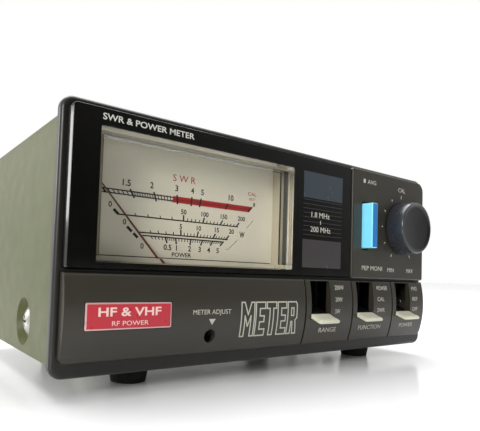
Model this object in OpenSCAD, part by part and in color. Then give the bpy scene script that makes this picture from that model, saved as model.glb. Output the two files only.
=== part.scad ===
// Desk-top SWR and power meter for an amateur radio station.
// A steel chassis and U-shaped cover behind a moulded front with a moving-coil meter,
// three lever switches, a push button and a calibration knob. Two coaxial sockets and
// a lamp supply jack are on the back.
//
// Every module draws in panel coordinates: X to the right, Y to the back from the
// front face of the rim, Z up from the lower edge of the rim. placed() moves that to
// the object's own frame, whose origin is the middle of its footprint on the table.

/* [Front panel] */
// Width of the moulded front panel
case_w = 148; // [146:1:150]
// Height of the moulded front panel
front_h = 65; // [65:0.5:67]
// Corner radius of the front panel
rim_r = 3.2; // [3:0.1:4]
// Thickness of the rim and of the wall behind it
rim_t = 2.8; // [2.6:0.1:2.8]
// Height that the window plate stands proud of the rim
plate_t = 2.2; // [2:0.1:2.4]
// Height that the control pad stands proud of the rim
pad_t = 2.7; // [2.5:0.1:2.9]
// Height that the curved switch fascia stands proud of the rim
fascia_t = 3.2; // [3.1:0.1:3.4]
// Radius of the fascia's curved face
fascia_r = 35; // [34:1:38]

/* [Case] */
// Distance from the front face of the rim to the back of the rear panel
body_d = 79; // [78:1:82]
// Sheet thickness of the cover
cover_t = 1; // [0.8:0.1:1]
// Sheet thickness of the chassis
chassis_t = 1.2; // [1:0.1:1.2]
// Height of the feet below the rim
foot_h = 4.5; // [3.5:0.1:5]
// Width between the foot centres
foot_span = 97; // [92:1:100]

/* [Meter] */
// Width of the meter window
window_w = 64.1; // [64:0.1:64.4]
// Height of the meter window
window_h = 32; // [31.8:0.1:32.2]
// Length of the pointer from its axis to its tip
pointer_l = 38.5; // [36:0.5:39]
// Angle from the upright at which the pointer rests
pointer_rest = 43; // [40:1:44]

/* [Controls] */
// Radius of the calibration knob
knob_r = 10; // [9.4:0.1:10.4]
// Distance from the rim's face to the front of the knob
knob_reach = 9.4; // [9.2:0.1:10.4]
// Width of each lever slot
slot_w = 9.2; // [9.1:0.1:9.5]
// Distance between neighbouring switches
switch_pitch = 23; // [22.8:0.1:23.2]
// Angle below level at which a lever rests
lever_rest = 21.2; // [20.4:0.2:21.2]

/* [Sockets] */
// Distance between the two coaxial sockets
socket_span = 60; // [56:1:64]
// Outer radius of a socket's threaded barrel
barrel_r = 7.94; // [7.9:0.01:8]
// Length of the barrel behind its flange
barrel_l = 11.8; // [11:0.1:12.4]

/* [Hidden] */
$fn = 64;
eps = 0.01;

// Places of the front, in panel coordinates
flange_t = 2;
total_d = knob_reach + body_d + flange_t + barrel_l;
face_y = knob_reach - total_d / 2;
plate_x = [-72.4, 26.8];
plate_z = [24.9, 63.3];
pad_x = [27, 71.1];
pad_z = [24.9, 63.2];
fascia_x = [-72.4, 71.1];
fascia_z = [3.6, 24.3];
fascia_mid = 15.5;
fascia_axis = fascia_r - fascia_t;
groove_x = 4.3;
badge_y = -2.85;
badge_t = 0.55;
groove_w = 0.7;
groove_d = 0.5;

// Meter window and movement
window_x = -65.3;
window_z = 26.8;
cover_gap = 0.2;
cover_wall = 1.3;
axis_x = -35.3;
axis_z = 18.9;
dial_y = 8;
dial_t = 0.5;
meter_x = [-68.3, 2.9];
meter_y = [3.6, 23];
meter_z = [5.4, 60];
meter_wall = 1.2;
coil_in = 5.3;
coil_out = 6.6;
core_r = 4.7;
magnet_bore = 8.2;
magnet_y = [11, 17.6];
coil_y = [9.6, 19];
staff_r = 0.6;
jewel_gap = 0.05;
adjust_x = -32.2;
adjust_z = 8.3;

// Switches
slot_z = [11.4, 23.7];
slot_x = 6.8;
pivot_y = 12.6;
pivot_z = 18.5;
lever_l = 21.2;
lever_w = 8.6;
lever_t = 1.3;
pin_r = 1;
pin_gap = 0.05;
switch_half = 6.5;
board_y = 21;
board_t = 1.6;

// Knob and button
knob_x = 55.8;
knob_z = 44.1;
knob_back = 3.1;
knob_taper = 0.7;
shaft_front = 8.2;
shaft_r = 3;
bush_r = 4;
button_x = 34.05;
button_z = 43.4;
button_w = 3.1;
button_h = 15.6;
button_reach = 6.8;

// Case
cover_x = 72.8;
cover_top = front_h - 1.9;
floor_z = 2.5;
flange_x = 69.9;
skirt_x = 71.5;
dish_y = [26.8, 62];
dish_z = 10.6;
dish_r = 6.4;
dish_d = 1.8;
foot_y = [12, 68];
socket_z = 34;
jack_x = 0;
jack_z = 12;
side_screw_y = 6.2;
side_screw_z = [16, 50];
spacer_xy = [for (x = [-58, 58], y = [32, 54]) [x, y]];
spacer_h = 6;

// ---- helpers ----------------------------------------------------------------

// Panel coordinates to the object's own frame
module placed() {
    translate([0, face_y, foot_h]) children();
}

// Range around a middle
function span(mid, half) = [mid - half, mid + half];

// Box between two corners, each axis given as [from, to]
module block(x, y, z) {
    translate([x[0], y[0], z[0]]) cube([x[1] - x[0], y[1] - y[0], z[1] - z[0]]);
}

// Cylinder along Y through (x, z)
module rod_y(r, y, x, z) {
    translate([x, y[1], z]) rotate([90, 0, 0]) cylinder(r = r, h = y[1] - y[0]);
}

// Cylinder along X through (y, z)
module rod_x(r, x, y, z) {
    translate([x[0], y, z]) rotate([0, 90, 0]) cylinder(r = r, h = x[1] - x[0]);
}

// Rectangle between two corners with round corners
module round_rect(x, z, r) {
    translate([x[0] + r, z[0]]) square([x[1] - x[0] - 2 * r, z[1] - z[0]]);
    translate([x[0], z[0] + r]) square([x[1] - x[0], z[1] - z[0] - 2 * r]);
    for (cx = [x[0] + r, x[1] - r], cz = [z[0] + r, z[1] - r])
        translate([cx, cz]) circle(r = r);
}

// Slab with the rounded rectangle as its face, thick along Y
module slab(x, y, z, r) {
    translate([0, y[1], 0]) rotate([90, 0, 0]) linear_extrude(y[1] - y[0]) round_rect(x, z, r);
}

// Middle of switch i, counted from the left
function switch_x(i) = slot_x + slot_w / 2 + i * switch_pitch;

// ---- front ------------------------------------------------------------------

// Outline that the window plate, the pad and the fascia keep within
module face_outline(r) {
    slab([plate_x[0], pad_x[1]], [-5, 1], [fascia_z[0], plate_z[1]], r);
}

// The curved volume of the fascia
module fascia_body() {
    intersection() {
        rod_x(fascia_r, fascia_x, fascia_axis, fascia_mid);
        block(fascia_x, [-fascia_t - eps, eps], fascia_z);
        face_outline(2);
    }
}

// Three grooves that divide the switch blocks
module fascia_grooves() {
    difference() {
        for (i = [0:2])
            block(span(groove_x + i * switch_pitch, groove_w / 2), [-fascia_t - 1, -0.5], fascia_z);
        rod_x(fascia_r - groove_d, fascia_x, fascia_axis, fascia_mid);
    }
}

module front_panel() {
    wall = [-case_w / 2, case_w / 2];
    skirt_y = [rim_t - eps, 8.8];
    color("#4a4a3e") placed() difference() {
        union() {
            slab(wall, [0, rim_t], [0, front_h], rim_r);
            intersection() {
                slab(pad_x, [-pad_t, eps], pad_z, 0.8);
                face_outline(3.5);
            }
            fascia_body();
            difference() {
                slab([-skirt_x, skirt_x], skirt_y, [4, 61.8], 2.5);
                slab([-skirt_x + 1.5, skirt_x - 1.5], [rim_t - 1, 9], [5.2, 60.3], 1.5);
            }
        }
        fascia_grooves();
        // Meter window
        block([window_x, window_x + window_w], [-1, 4], [window_z, window_z + window_h]);
        // Hollow behind the fascia, the switch blocks and the control pad
        block([-69, 2.5], [-0.6, 4], [5.4, 22.5]);
        block([5.6, 69.6], [-1.1, 4], [7.4, 23.9]);
        slab([29, 69.6], [-0.7, 4], [26.8, 60.3], 1);
        // Lever slots
        for (i = [0:2])
            block(span(switch_x(i), slot_w / 2), [-5, 4], slot_z);
        // Push button opening and knob hole
        block(span(button_x, 1.95), [-4, 4], span(button_z, 8.5));
        rod_y(bush_r + 0.15, [-4, 4], knob_x, knob_z);
        // Access to the meter's zero adjuster
        rod_y(1.8, [-5, 4], adjust_x, adjust_z);
        // Seat of the badge
        block([-67.7, -44.7], [-5, badge_y], [11, 17.7]);
        // Countersunk holes in the skirt
        for (s = [-1, 1], z = side_screw_z) translate([s * skirt_x, side_screw_y, z])
            rotate([0, -s * 90, 0]) {
                translate([0, 0, -eps]) cylinder(r1 = 2.6, r2 = 1.6, h = 1.2);
                cylinder(r = 1.6, h = 3);
            }
    }
}

module window_plate() {
    color("#0d0d0b") placed() difference() {
        intersection() {
            slab(plate_x, [-plate_t, 0], plate_z, 0.8);
            face_outline(1.5);
        }
        slab([window_x, window_x + window_w], [-plate_t - 1, 1], [window_z, window_z + window_h], 0.4);
    }
}

module badge() {
    color("#b51f33") placed() slab([-67.5, -44.9], [badge_y - badge_t, badge_y], [11.2, 17.5], 0.3);
}

// ---- case -------------------------------------------------------------------

// Dished recess for a cover screw; s is the side, grow thickens it
module dish(s, y, grow, depth) {
    translate([s * cover_x, y, dish_z]) rotate([0, -s * 90, 0])
        translate([0, 0, -eps])
            cylinder(r1 = dish_r + grow, r2 = dish_r - 1.4 + grow, h = depth + eps);
}

module top_cover() {
    y = [rim_t + 0.1, body_d + 0.4];
    inner = cover_x - cover_t;
    color("#8b8f78") placed() difference() {
        union() {
            difference() {
                slab([-cover_x, cover_x], y, [floor_z - 8, cover_top], 3);
                slab([-inner, inner], [y[0] - 1, y[1] + 1], [floor_z - 9, cover_top - cover_t], 2);
                block([-90, 90], [y[0] - 1, y[1] + 1], [floor_z - 9, floor_z]);
            }
            intersection() {
                for (s = [-1, 1], dy = dish_y) dish(s, dy, cover_t, dish_d + cover_t);
                block([-90, 90], y, [floor_z, 40]);
            }
        }
        for (s = [-1, 1], dy = dish_y) {
            dish(s, dy, 0, dish_d);
            translate([s * cover_x, dy, dish_z]) rotate([0, -s * 90, 0]) cylinder(r = 1.7, h = 4);
        }
    }
}

// Floor and side flanges, folded from one sheet
module chassis() {
    side = [flange_x - chassis_t, flange_x];
    rear_y = body_d - chassis_t;
    color("#b9bbb4") placed() difference() {
        union() {
            block([-flange_x, flange_x], [3.1, rear_y], [floor_z, floor_z + chassis_t]);
            for (s = [-1, 1]) {
                x = s > 0 ? side : [-side[1], -side[0]];
                block(x, [9.2, rear_y], [floor_z, 20]);
                block(x, [3.1, 12], [7, 56]);
            }
        }
        // Threaded holes for the cover and front screws
        for (s = [-1, 1]) {
            x = s > 0 ? [66, 72] : [-72, -66];
            for (dy = dish_y) rod_x(1.25, x, dy, dish_z);
            for (z = side_screw_z) rod_x(1.25, x, side_screw_y, z);
        }
        // Foot and spacer screws
        for (s = [-1, 1], y = foot_y) translate([s * foot_span / 2, y, 0]) cylinder(r = 1.25, h = 6);
        for (p = spacer_xy) translate([p[0], p[1], 0]) cylinder(r = 1.25, h = 6);
    }
}

// Rear wall with holes for the sockets, their screws and the supply jack
module rear_panel() {
    half = cover_x - cover_t - 0.4;
    color("#b9bbb4") placed() difference() {
        slab([-half, half], [body_d - chassis_t, body_d],
             [floor_z, cover_top - cover_t - 0.3], 2.4);
        for (s = [-1, 1]) {
            rod_y(6.6, [70, 90], s * socket_span / 2, socket_z);
            for (dx = [-9.1, 9.1], dz = [-9.1, 9.1])
                rod_y(1.6, [70, 90], s * socket_span / 2 + dx, socket_z + dz);
        }
        rod_y(4.1, [70, 90], jack_x, jack_z);
    }
}

// Countersunk screws through the skirt of the front panel into the chassis
module front_screws() {
    color("#c9cac6") placed() for (s = [-1, 1], z = side_screw_z)
        translate([s * skirt_x, side_screw_y, z]) rotate([0, -s * 90, 0]) {
            cylinder(r1 = 2.5, r2 = 1.5, h = 1.15);
            cylinder(r = 1.25, h = 3);
        }
}

// Domed screws with a cross recess
module cover_screws() {
    head_r = 4.2;
    head_h = 1.6;
    dome_r = (head_r * head_r + head_h * head_h) / (2 * head_h);
    color("#d2d3cf") placed() for (s = [-1, 1], y = dish_y)
        translate([s * (cover_x - dish_d), y, dish_z]) rotate([0, -s * 90, 0]) {
            difference() {
                intersection() {
                    translate([0, 0, dome_r - head_h]) sphere(r = dome_r);
                    translate([0, 0, -2]) cylinder(r = 6, h = 2);
                }
                translate([0, 0, -1.7]) for (a = [0, 90]) rotate([0, 0, a])
                    translate([-1.5, -0.3, 0]) cube([3, 0.6, 0.8]);
            }
            translate([0, 0, -eps]) cylinder(r = 1.25, h = 5);
        }
}

// One rubber foot with a counterbored screw hole
module foot(sx, y) {
    color("#171716") placed() translate([sx * foot_span / 2, y, -foot_h]) difference() {
        cylinder(r1 = 4.7, r2 = 6, h = foot_h + floor_z);
        translate([0, 0, -eps]) cylinder(r = 3.2, h = 3 + eps);
        cylinder(r = 1.7, h = 12);
    }
}

module foot_front_left() { foot(-1, foot_y[0]); }
module foot_front_right() { foot(1, foot_y[0]); }
module foot_rear_left() { foot(-1, foot_y[1]); }
module foot_rear_right() { foot(1, foot_y[1]); }

module foot_screws() {
    color("#c9cac6") placed() for (s = [-1, 1], y = foot_y)
        translate([s * foot_span / 2, y, -foot_h + 3 - 1.8]) {
            difference() {
                cylinder(r = 2.7, h = 1.8);
                translate([0, 0, -eps]) for (a = [0, 90]) rotate([0, 0, a])
                    translate([-1.5, -0.3, 0]) cube([3, 0.6, 0.9]);
            }
            cylinder(r = 1.25, h = 8);
        }
}

// ---- meter ------------------------------------------------------------------

// Clear moulding: a thick window with a skirt behind it
module meter_cover() {
    x = [window_x + cover_gap, window_x + window_w - cover_gap];
    z = [window_z + cover_gap, window_z + window_h - cover_gap];
    color("#dfe6e2", 0.4) placed() difference() {
        slab(x, [-plate_t, meter_y[0]], z, 0.4);
        block([x[0] + cover_wall, x[1] - cover_wall], [0, meter_y[0] + 1],
              [z[0] + cover_wall, z[1] - cover_wall]);
    }
}

// Moulded case: its front walls frame the dial, its back holds the movement
module meter_case() {
    color("#b7ad97") placed() {
        for (dx = [-13, 13], dz = [-8, 8])
            rod_y(1.8, [magnet_y[1], meter_y[1] - 1], axis_x + dx, axis_z + dz);
        difference() {
            block(meter_x, meter_y, meter_z);
            // Space in front of the dial, open at the window
            block([window_x + 0.3, window_x + window_w - 0.3], [4.6, dial_y + 1],
                  [meter_z[0] + meter_wall, window_z + window_h - 0.1]);
            block([window_x + 0.3, window_x + window_w - 0.3], [meter_y[0] - 1, dial_y + 1],
                  [window_z + 0.4, window_z + window_h - 0.1]);
            // Space of the dial and the movement
            block([meter_x[0] + meter_wall, meter_x[1] - meter_wall], [dial_y, meter_y[1] - 1.4],
                  [meter_z[0] + meter_wall, meter_z[1] - meter_wall + 0.4]);
            // Bearing of the zero adjuster and the terminal holes
            rod_y(1.25, [meter_y[0] - 1, 5], adjust_x, adjust_z);
            for (dx = [-12, 12]) rod_y(1.5, [20, 24], axis_x + dx, 36);
        }
    }
}

module scale_plate() {
    color("#cfc6ad") placed()
        block([meter_x[0] + 1.4, meter_x[1] - 1.4], [dial_y, dial_y + dial_t], [26, 59]);
}

// Needle, hub and counterweight
module pointer() {
    color("#8c3a2c") placed() translate([axis_x, 0, axis_z]) rotate([0, -pointer_rest, 0]) {
        difference() {
            union() {
                rod_y(1.7, [6.1, 7.2], 0, 0);
                translate([0, 6.85, 0]) rotate([90, 0, 0]) linear_extrude(0.4)
                    polygon([[-0.5, 0], [0.5, 0], [0.3, pointer_l], [-0.3, pointer_l]]);
                block([-0.5, 0.5], [6.4, 6.9], [-6, 0]);
                rod_y(1.1, [6.2, 7.1], 0, -6);
            }
            rod_y(staff_r, [5, 8], 0, 0);
        }
    }
}

// Wound frame with its two half staffs
module moving_coil() {
    color("#b5713a") placed() translate([axis_x, 0, axis_z]) rotate([0, -pointer_rest, 0]) {
        difference() {
            block([-coil_out, coil_out], coil_y, [-2, 2]);
            block([-coil_in, coil_in], coil_y + [0.9, -0.9], [-3, 3]);
        }
        rod_y(staff_r, [4.9, coil_y[0] + eps], 0, 0);
        rod_y(staff_r, [coil_y[1] - eps, 21], 0, 0);
    }
}

// Soft-iron core on a strap in the lower part of the gap
module meter_core() {
    color("#77787a") placed() translate([axis_x, 0, axis_z]) {
        rod_y(core_r, [11, 17.6], 0, 0);
        block([-1.2, 1.2], [13, 15.6], [0.1 - magnet_bore, -core_r + 0.4]);
    }
}

module meter_magnet() {
    color("#54565a") placed() translate([axis_x, 0, axis_z]) difference() {
        slab([-16, 16], magnet_y, [-11, 11], 2);
        rod_y(magnet_bore, [10, 19], 0, 0);
    }
}

// Strap with a jewel hole across the movement; legs run to the magnet
module bridge(y, legs) {
    difference() {
        union() {
            slab([-13, 13], y, [-1.7, 1.7], 1);
            for (s = [-1, 1]) rod_y(1.2, legs, s * 11.4, 0);
        }
        rod_y(staff_r + jewel_gap, [0, 30], 0, 0);
    }
}

module front_bridge() {
    color("#c2a14d") placed() translate([axis_x, 0, axis_z]) {
        bridge([4.8, 5.6], [5.5, magnet_y[0]]);
        rod_y(0.35, [5.5, 8.2], 4.4, 0);
    }
}

module rear_bridge() {
    color("#c2a14d") placed() translate([axis_x, 0, axis_z]) {
        bridge([20.3, 21.1], [magnet_y[1], 20.4]);
        rod_y(0.35, [19.4, 20.4], 4.4, 0);
    }
}

// Flat spiral from the staff out to its stud
function spiral(r0, r1, turns, steps) =
    [for (i = [0:steps]) let (a = 360 * turns * i / steps, r = r0 + (r1 - r0) * i / steps)
        [r * cos(a), r * sin(a)]];
function reversed(list) = [for (i = [len(list) - 1:-1:0]) list[i]];

module hairspring(y) {
    inner = spiral(0.95, 3.95, 3, 60);
    outer = spiral(1.15, 4.15, 3, 60);
    translate([0, y[1], 0]) rotate([90, 0, 0]) linear_extrude(y[1] - y[0])
        polygon(concat(inner, reversed(outer)));
}

module hairsprings() {
    color("#d9b25a") placed() translate([axis_x, 0, axis_z]) {
        hairspring([7.6, 8.2]);
        hairspring([19.4, 20]);
    }
}

// Slotted screw with an eccentric pin
module zero_adjuster() {
    color("#9a9c98") placed() translate([adjust_x, 0, adjust_z]) {
        difference() {
            rod_y(2.4, [1.4, 3.2], 0, 0);
            block([-3, 3], [1.3, 2.1], [-0.35, 0.35]);
        }
        rod_y(1.2, [3.1, 6.2], 0, 0);
        rod_y(0.4, [6.1, 7.4], 0, 0.7);
    }
}

module meter_terminals() {
    color("#c8a860") placed() for (dx = [-12, 12]) translate([axis_x + dx, 0, 36]) {
        rod_y(1.5, [20.6, 28], 0, 0);
        rod_y(3, [meter_y[1], 24], 0, 0);
        rod_y(2.6, [24, 25.6], 0, 0);
    }
}

module meter_lamps() {
    color("#e9dfb8", 0.7) placed() for (x = [-60, -10]) {
        rod_y(2, [12, 17], x, 48);
        translate([x, 12, 48]) sphere(r = 2);
        rod_y(2.5, [16.5, meter_y[1] - 1.4], x, 48);
    }
}

// ---- knob and button --------------------------------------------------------

module cal_knob() {
    y = [-knob_reach, -knob_back];
    edge = 0.4;
    front_r = knob_r - knob_taper;
    color("#23242b") placed() translate([knob_x, 0, knob_z]) difference() {
        rotate([90, 0, 0]) rotate_extrude()
            polygon([[0, knob_back], [knob_r, knob_back], [front_r, knob_reach - edge],
                     [front_r - edge, knob_reach], [0, knob_reach]]);
        rod_y(6.9, [-6.2, y[1] + 1], 0, 0);
        rod_y(shaft_r, [-shaft_front, 0], 0, 0);
    }
}

module pot_shaft() {
    color("#c6c7c2") placed() rod_y(shaft_r, [-shaft_front, 7], knob_x, knob_z);
}

// Potentiometer body with its threaded bush
module cal_pot() {
    color("#7d8077") placed() translate([knob_x, 0, knob_z]) difference() {
        union() {
            rod_y(bush_r, [-5.4, 0], 0, 0);
            rod_y(8.2, [-0.7, 9], 0, 0);
            block([-6, 6], [5, 8], [-13, -4]);
            for (x = [-4, 0, 4]) block(span(x, 0.5), [6.9, board_y], [-12, -11]);
        }
        rod_y(shaft_r + 0.05, [-6, 7.4], 0, 0);
    }
}

module pot_nut() {
    color("#cfcfc8") placed() translate([knob_x, 0, knob_z]) difference() {
        union() {
            translate([0, -pad_t - 0.5, 0]) rotate([90, 0, 0]) cylinder(r = 6.2, h = 1.9, $fn = 6);
            rod_y(6, [-pad_t - 0.5, -pad_t], 0, 0);
        }
        rod_y(bush_r, [-6, 0], 0, 0);
    }
}

// Narrow push button with its plunger
module moni_button() {
    x = span(button_x, button_w / 2);
    color("#3aa6df") placed() {
        slab(x, [-button_reach, 4.5], span(button_z, button_h / 2), 0.5);
        block(span(button_x, 1.3), [4.4, 13.5], span(button_z, 2));
    }
}

module button_switch() {
    color("#2b2b2b") placed() difference() {
        block(span(button_x, 4.5), [11, board_y], span(button_z, 6));
        block(span(button_x, 1.7), [10, 17.5], span(button_z, 2.4));
    }
}

// ---- lever switches ---------------------------------------------------------

// Lever with its hub; the paddle fills the slot
module lever(i) {
    half = lever_w / 2;
    color("#cdcdb6") placed() translate([switch_x(i), pivot_y, pivot_z])
        rotate([lever_rest, 0, 0]) difference() {
            union() {
                block([-half, half], [-lever_l, 0], [-lever_t / 2, lever_t / 2]);
                rod_x(2.6, [-half, half], 0, 0);
                block([-1.2, 1.2], [0, 3.4], [-0.8, 0.8]);
            }
            rod_x(pin_r + pin_gap, [-6, 6], 0, 0);
        }
}

module range_lever() { lever(0); }
module function_lever() { lever(1); }
module power_lever() { lever(2); }

// Moulded switch frame: two cheeks carry the pin, the block behind holds the contacts
module lever_switch(i) {
    cheek = 1.2;
    color("#26282a") placed() translate([switch_x(i), 0, 0]) difference() {
        block([-switch_half, switch_half], [4.2, board_y], [7, 26]);
        block([-switch_half + cheek, switch_half - cheek], [4, 16.8], [6, 27]);
        rod_x(pin_r, [-8, 8], pivot_y, pivot_z);
    }
}

module range_switch() { lever_switch(0); }
module function_switch() { lever_switch(1); }
module power_switch() { lever_switch(2); }

module lever_pins() {
    color("#d0d1cd") placed() for (i = [0:2])
        rod_x(pin_r, span(switch_x(i), switch_half), pivot_y, pivot_z);
}

// ---- boards -----------------------------------------------------------------

module switch_board() {
    color("#2f5a37") placed() block([4.5, 68.2], [board_y, board_y + board_t], [7, 60]);
}

module main_board() {
    z = floor_z + chassis_t + spacer_h;
    color("#2f5a37") placed() difference() {
        block([-64, 64], [28, 58], [z, z + board_t]);
        for (p = spacer_xy) translate([p[0], p[1], 0]) cylinder(r = 1.7, h = 20);
    }
}

// Trimmers, capacitors and integrated circuits on the main board
module board_parts() {
    z = floor_z + chassis_t + spacer_h + board_t;
    color("#3a4f86") placed() {
        for (i = [0:3]) translate([-44 + i * 12, 36, z]) cylinder(r = 3.4, h = 4);
        for (i = [0:4]) translate([8 + i * 9, 50, z]) cylinder(r = 2.5, h = 8);
        for (x = [10, 34]) block([x, x + 19], [36, 43], [z, z + 3.4]);
        for (i = [0:5]) block(span(-43 + i * 8, 2.8), [47, 49.5], [z, z + 2.2]);
    }
}

// Pin header between the switch board and the main board
module board_link() {
    z = floor_z + chassis_t + spacer_h + board_t;
    color("#22231f") placed() {
        block([12, 52], [board_y + board_t, 32], [z, z + 4]);
    }
}

module board_spacers() {
    z = floor_z + chassis_t;
    color("#c8a860") placed() for (p = spacer_xy) translate([p[0], p[1], z]) difference() {
        cylinder(r = 3, h = spacer_h, $fn = 6);
        translate([0, 0, -1]) cylinder(r = 1.25, h = spacer_h + 2);
    }
}

// Upper screws hold the board, lower ones hold the spacers
module board_screws() {
    z = floor_z + chassis_t + spacer_h + board_t;
    color("#c9cac6") placed() for (p = spacer_xy) translate([p[0], p[1], 0]) {
        translate([0, 0, z]) cylinder(r = 2.7, h = 1.6);
        translate([0, 0, z - 4]) cylinder(r = 1.25, h = 4.2);
        translate([0, 0, floor_z - 1.4]) cylinder(r = 2.6, h = 1.4);
        translate([0, 0, floor_z - 0.2]) cylinder(r = 1.25, h = 4);
    }
}

// ---- coupler and sockets ----------------------------------------------------

module coupler_box() {
    y = [58.5, body_d - chassis_t];
    color("#c7c9c4") placed() difference() {
        block([-48, 48], y, [18, 50]);
        block([-47.2, 47.2], [y[0] + 0.8, y[1] + 1], [18.8, 49.2]);
    }
}

// Through line between the two centre contacts
module coupler_line() {
    half = socket_span / 2;
    color("#c48a4a") placed() {
        rod_x(2, [-half, half], 66, socket_z);
        for (s = [-1, 1]) rod_y(1.6, [66, 69.5], s * half, socket_z);
    }
}

module coupler_core() {
    color("#3b3b3f") placed() difference() {
        rod_x(6, [-5, 5], 66, socket_z);
        rod_x(2.1, [-6, 6], 66, socket_z);
    }
}

// Square flange with the boss that centres it in the rear panel
module socket_flange(s) {
    y0 = body_d;
    color("#c9cbc9") placed() translate([s * socket_span / 2, 0, socket_z]) difference() {
        union() {
            slab([-12.7, 12.7], [y0, y0 + flange_t], [-12.7, 12.7], 1.2);
            rod_y(6.4, [y0 - 2.6, y0 + 1], 0, 0);
        }
        rod_y(5, [y0 - 5, y0 + 6], 0, 0);
        for (dx = [-9.1, 9.1], dz = [-9.1, 9.1]) rod_y(1.6, [y0 - 1, y0 + 5], dx, dz);
    }
}

// Threaded barrel, staked to the flange
module socket_barrel(s) {
    y0 = body_d + flange_t;
    color("#c9cbc9") placed() translate([s * socket_span / 2, 0, socket_z]) difference() {
        rod_y(barrel_r, [y0, y0 + barrel_l], 0, 0);
        rod_y(5, [y0 - 1, y0 + 3], 0, 0);
        rod_y(6, [y0 + 2, y0 + 20], 0, 0);
    }
}

module socket_insulator(s) {
    y0 = body_d;
    color("#e8e4d8") placed() translate([s * socket_span / 2, 0, socket_z]) difference() {
        rod_y(5, [y0 - 4, y0 + 6], 0, 0);
        rod_y(3, [y0 - 5, y0 + 7], 0, 0);
    }
}

// Centre contact: a tube that takes the plug's pin
module socket_contact(s) {
    y0 = body_d;
    color("#d8b35c") placed() translate([s * socket_span / 2, 0, socket_z]) difference() {
        rod_y(3, [69.5, y0 + 11], 0, 0);
        rod_y(2.05, [y0 - 1, y0 + 12], 0, 0);
    }
}

module tx_flange() { socket_flange(-1); }
module tx_barrel() { socket_barrel(-1); }
module tx_insulator() { socket_insulator(-1); }
module tx_contact() { socket_contact(-1); }
module ant_flange() { socket_flange(1); }
module ant_barrel() { socket_barrel(1); }
module ant_insulator() { socket_insulator(1); }
module ant_contact() { socket_contact(1); }

// Places of the eight socket screws
module at_socket_screws() {
    for (s = [-1, 1], dx = [-9.1, 9.1], dz = [-9.1, 9.1])
        translate([s * socket_span / 2 + dx, 0, socket_z + dz]) children();
}

module socket_screws() {
    y0 = body_d + flange_t;
    color("#d2d3cf") placed() at_socket_screws() {
        difference() {
            rod_y(2.7, [y0, y0 + 1.7], 0, 0);
            for (a = [0, 90]) rotate([0, a, 0]) block([-1.5, 1.5], [y0 + 0.9, y0 + 2], [-0.3, 0.3]);
        }
        rod_y(1.45, [y0 - 7, y0 + 0.2], 0, 0);
    }
}

module socket_nuts() {
    y1 = body_d - chassis_t;
    color("#b8bab5") placed() at_socket_screws() difference() {
        translate([0, y1, 0]) rotate([90, 0, 0]) cylinder(r = 3, h = 2.2, $fn = 6);
        rod_y(1.45, [y1 - 4, y1 + 1], 0, 0);
    }
}

// Supply jack for the dial lamps, with its centre pin
module dc_jack() {
    color("#1f1f1e") placed() translate([jack_x, 0, jack_z]) {
        difference() {
            union() {
                rod_y(5.2, [66, body_d - chassis_t], 0, 0);
                rod_y(4, [body_d - chassis_t - 1, body_d + 3.4], 0, 0);
            }
            rod_y(2.75, [70, body_d + 4], 0, 0);
        }
        rod_y(1.05, [69, body_d + 2], 0, 0);
    }
}

module dc_jack_nut() {
    color("#c9cbc9") placed() translate([jack_x, 0, jack_z]) difference() {
        translate([0, body_d + 2, 0]) rotate([90, 0, 0]) cylinder(r = 6, h = 2, $fn = 6);
        rod_y(4, [body_d - 1, body_d + 3], 0, 0);
    }
}

// ---- drawing ----------------------------------------------------------------

front_panel();
window_plate();
badge();
top_cover();
chassis();
rear_panel();
front_screws();
cover_screws();
foot_front_left();
foot_front_right();
foot_rear_left();
foot_rear_right();
foot_screws();
meter_cover();
meter_case();
scale_plate();
pointer();
moving_coil();
meter_core();
meter_magnet();
front_bridge();
rear_bridge();
hairsprings();
zero_adjuster();
meter_terminals();
meter_lamps();
cal_knob();
pot_shaft();
cal_pot();
pot_nut();
moni_button();
button_switch();
range_lever();
function_lever();
power_lever();
range_switch();
function_switch();
power_switch();
lever_pins();
switch_board();
main_board();
board_parts();
board_link();
board_spacers();
board_screws();
coupler_box();
coupler_line();
coupler_core();
tx_flange();
tx_barrel();
tx_insulator();
tx_contact();
ant_flange();
ant_barrel();
ant_insulator();
ant_contact();
socket_screws();
socket_nuts();
dc_jack();
dc_jack_nut();
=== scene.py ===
import math

import bmesh
import bpy
from mathutils import Matrix, Vector


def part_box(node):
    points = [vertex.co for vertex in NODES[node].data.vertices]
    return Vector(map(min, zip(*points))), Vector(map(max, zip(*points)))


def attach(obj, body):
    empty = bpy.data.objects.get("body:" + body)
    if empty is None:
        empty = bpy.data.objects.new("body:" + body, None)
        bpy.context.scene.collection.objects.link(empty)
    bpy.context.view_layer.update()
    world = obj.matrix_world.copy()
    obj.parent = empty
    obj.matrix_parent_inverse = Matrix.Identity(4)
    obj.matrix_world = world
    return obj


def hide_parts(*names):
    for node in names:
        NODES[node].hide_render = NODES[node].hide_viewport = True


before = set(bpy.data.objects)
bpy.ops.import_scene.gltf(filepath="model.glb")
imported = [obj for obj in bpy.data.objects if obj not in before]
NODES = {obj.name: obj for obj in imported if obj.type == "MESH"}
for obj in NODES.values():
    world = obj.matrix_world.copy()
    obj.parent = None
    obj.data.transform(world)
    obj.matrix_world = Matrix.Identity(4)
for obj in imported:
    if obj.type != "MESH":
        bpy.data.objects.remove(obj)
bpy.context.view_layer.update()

# Panel coordinates in mm: X right, Y to the back from the rim's face, Z up from the rim's lower edge
FRONT_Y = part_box("window_plate")[1].y
FRONT_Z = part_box("front_panel")[0].z


def at(x, y, z):
    """Point in the frame's metres for panel coordinates in mm."""
    return Vector((x * 0.001, FRONT_Y + y * 0.001, FRONT_Z + z * 0.001))


def span(node):
    """Low and high corner of a CAD node in panel coordinates."""
    return [(c.x * 1000, (c.y - FRONT_Y) * 1000, (c.z - FRONT_Z) * 1000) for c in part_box(node)]


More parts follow.
